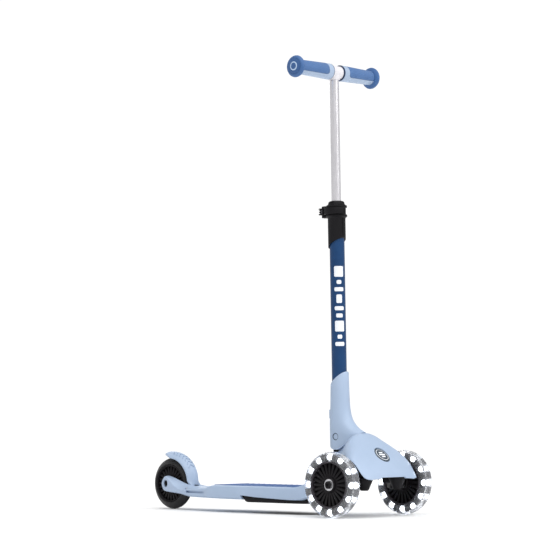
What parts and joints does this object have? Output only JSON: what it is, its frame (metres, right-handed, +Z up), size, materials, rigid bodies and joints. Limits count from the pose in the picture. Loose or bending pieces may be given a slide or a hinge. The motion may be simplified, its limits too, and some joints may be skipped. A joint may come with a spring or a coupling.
{
  "type": "kick scooter",
  "caption": "Three-wheeled child's kick scooter with light-up steered front wheels, folding stem, height-adjustable T-bar and rear foot brake",
  "frame": {"origin": "on the ground below the middle of the whole scooter's length and width", "axes": "+X is the direction of travel, +Y the rider's left, +Z up"},
  "size_m": [0.6044, 0.2394, 0.8485],
  "materials": {
    "shell_plastic": "light blue moulded plastic, fine satin grain",
    "tube_paint": "dark blue powder coat, satin",
    "grip_rubber": "mid blue soft rubber, matt",
    "cap_rubber": "blue soft rubber, matt",
    "mat_rubber": "dark blue ribbed grip mat",
    "black_plastic": "black glass-filled plastic",
    "badge_plastic": "dark domed badge",
    "rear_tyre": "black polyurethane tyre",
    "wheel_core": "dark grey moulded spokes",
    "clear_tyre": "clear cast polyurethane",
    "lamp_ring": "dark ring with white light-emitting diodes",
    "alloy": "clear anodised aluminium",
    "steel": "bright steel",
    "zinc": "zinc plated steel"
  },
  "bodies": {
    "base": {"deck_shell": "shell_plastic", "deck_grip_pad": "mat_rubber", "underside_beam": "black_plastic", "beam_screw_1": "zinc", "beam_screw_2": "zinc", "beam_screw_3": "zinc", "front_truck": "black_plastic", "nose_cover": "shell_plastic", "nose_badge": "badge_plastic", "kingpin_right": "zinc", "kingpin_left": "zinc", "fold_pin": "alloy", "rear_axle_bolt": "black_plastic", "rear_axle_nut": "zinc", "brake_hinge_pin": "steel", "brake_spring": "steel"},
    "stem": {"stem_housing": "shell_plastic", "lower_tube": "tube_paint", "clamp_body": "black_plastic", "clamp_top_ring": "black_plastic", "clamp_draw_bolt": "zinc", "clamp_nut": "zinc", "clamp_pin": "steel", "latch_spring": "steel", "housing_screw": "zinc"},
    "lever": {"clamp_lever": "black_plastic"},
    "release": {"fold_button": "cap_rubber"},
    "latch": {"latch_plunger": "steel"},
    "handlebar": {"upper_tube": "alloy", "guide_bush": "black_plastic", "handlebar_tee": "alloy", "crossbar": "alloy", "grip_core_right": "shell_plastic", "grip_pad_right": "grip_rubber", "end_cap_right": "cap_rubber", "grip_core_left": "shell_plastic", "grip_pad_left": "grip_rubber", "end_cap_left": "cap_rubber"},
    "steering_right": {"knuckle_right": "black_plastic", "axle_bolt_right": "black_plastic"},
    "steering_left": {"knuckle_left": "black_plastic", "axle_bolt_left": "black_plastic"},
    "tie": {"tie_rod": "black_plastic"},
    "front_wheel_right": {"wheel_right_tyre": "clear_tyre", "wheel_right_core": "wheel_core", "wheel_right_light_ring": "lamp_ring", "wheel_right_bearing_right": "steel", "wheel_right_bearing_left": "steel"},
    "front_wheel_left": {"wheel_left_tyre": "clear_tyre", "wheel_left_core": "wheel_core", "wheel_left_light_ring": "lamp_ring", "wheel_left_bearing_right": "steel", "wheel_left_bearing_left": "steel"},
    "rear_wheel": {"wheel_rear_tyre": "rear_tyre", "wheel_rear_core": "wheel_core", "wheel_rear_bearing_right": "steel", "wheel_rear_bearing_left": "steel"},
    "brake": {"fender_brake": "shell_plastic"}
  },
  "joints": [
    {"name": "stem_fold", "type": "hinge", "parent": "base", "child": "stem", "pos_m": [0.17805, 0, 0.1456], "axis": [0, -1, 0], "range_deg": [0, 83]},
    {"name": "handlebar_slide", "type": "slide", "parent": "stem", "child": "handlebar", "axis": [0.0215, 0, -0.9998], "range_m": [0, 0.16]},
    {"name": "clamp_lever_swing", "type": "hinge", "parent": "stem", "child": "lever", "pos_m": [0.14043, -0.0125, 0.56547], "axis": [0.0215, 0, -0.9998], "range_deg": [0, 115]},
    {"name": "fold_button_press", "type": "slide", "parent": "stem", "child": "release", "axis": [0.9998, 0, 0.0215], "range_m": [0, 0.004], "stiffness_N_per_m": 400, "springref_m": -0.002},
    {"name": "latch_lift", "type": "slide", "parent": "stem", "child": "latch", "axis": [-0.0215, 0, 0.9998], "range_m": [0, 0.004]},
    {"name": "steer_right", "type": "hinge", "parent": "base", "child": "steering_right", "pos_m": [0.27025, -0.048, 0.0716], "axis": [0, 0, 1], "range_deg": [-12, 12], "stiffness_Nm_per_rad": 12},
    {"name": "steer_left", "type": "hinge", "parent": "base", "child": "steering_left", "pos_m": [0.27025, 0.048, 0.0716], "axis": [0, 0, 1], "range_deg": [-12, 12]},
    {"name": "tie_rod_swing", "type": "hinge", "parent": "steering_right", "child": "tie", "pos_m": [0.24425, -0.048, 0.075], "axis": [0, 0, 1], "range_deg": [-12, 12]},
    {"name": "front_wheel_right_spin", "type": "hinge", "parent": "steering_right", "child": "front_wheel_right", "pos_m": [0.24225, -0.106, 0.06], "axis": [0, 1, 0], "continuous": true},
    {"name": "front_wheel_left_spin", "type": "hinge", "parent": "steering_left", "child": "front_wheel_left", "pos_m": [0.24225, 0.106, 0.06], "axis": [0, 1, 0], "continuous": true},
    {"name": "rear_wheel_spin", "type": "hinge", "parent": "base", "child": "rear_wheel", "pos_m": [-0.25225, 0, 0.05], "axis": [0, 1, 0], "continuous": true},
    {"name": "brake_press", "type": "hinge", "parent": "base", "child": "brake", "pos_m": [-0.19225, 0, 0.041], "axis": [0, -1, 0], "range_deg": [0, 3], "stiffness_Nm_per_rad": 2, "springref_deg": -11.46}
  ],
  "couplings": [
    {"joint": "steer_left", "follows": "steer_right", "ratio": 1},
    {"joint": "tie_rod_swing", "follows": "steer_right", "ratio": -1},
    {"joint": "latch_lift", "follows": "fold_button_press", "ratio": 1}
  ]
}
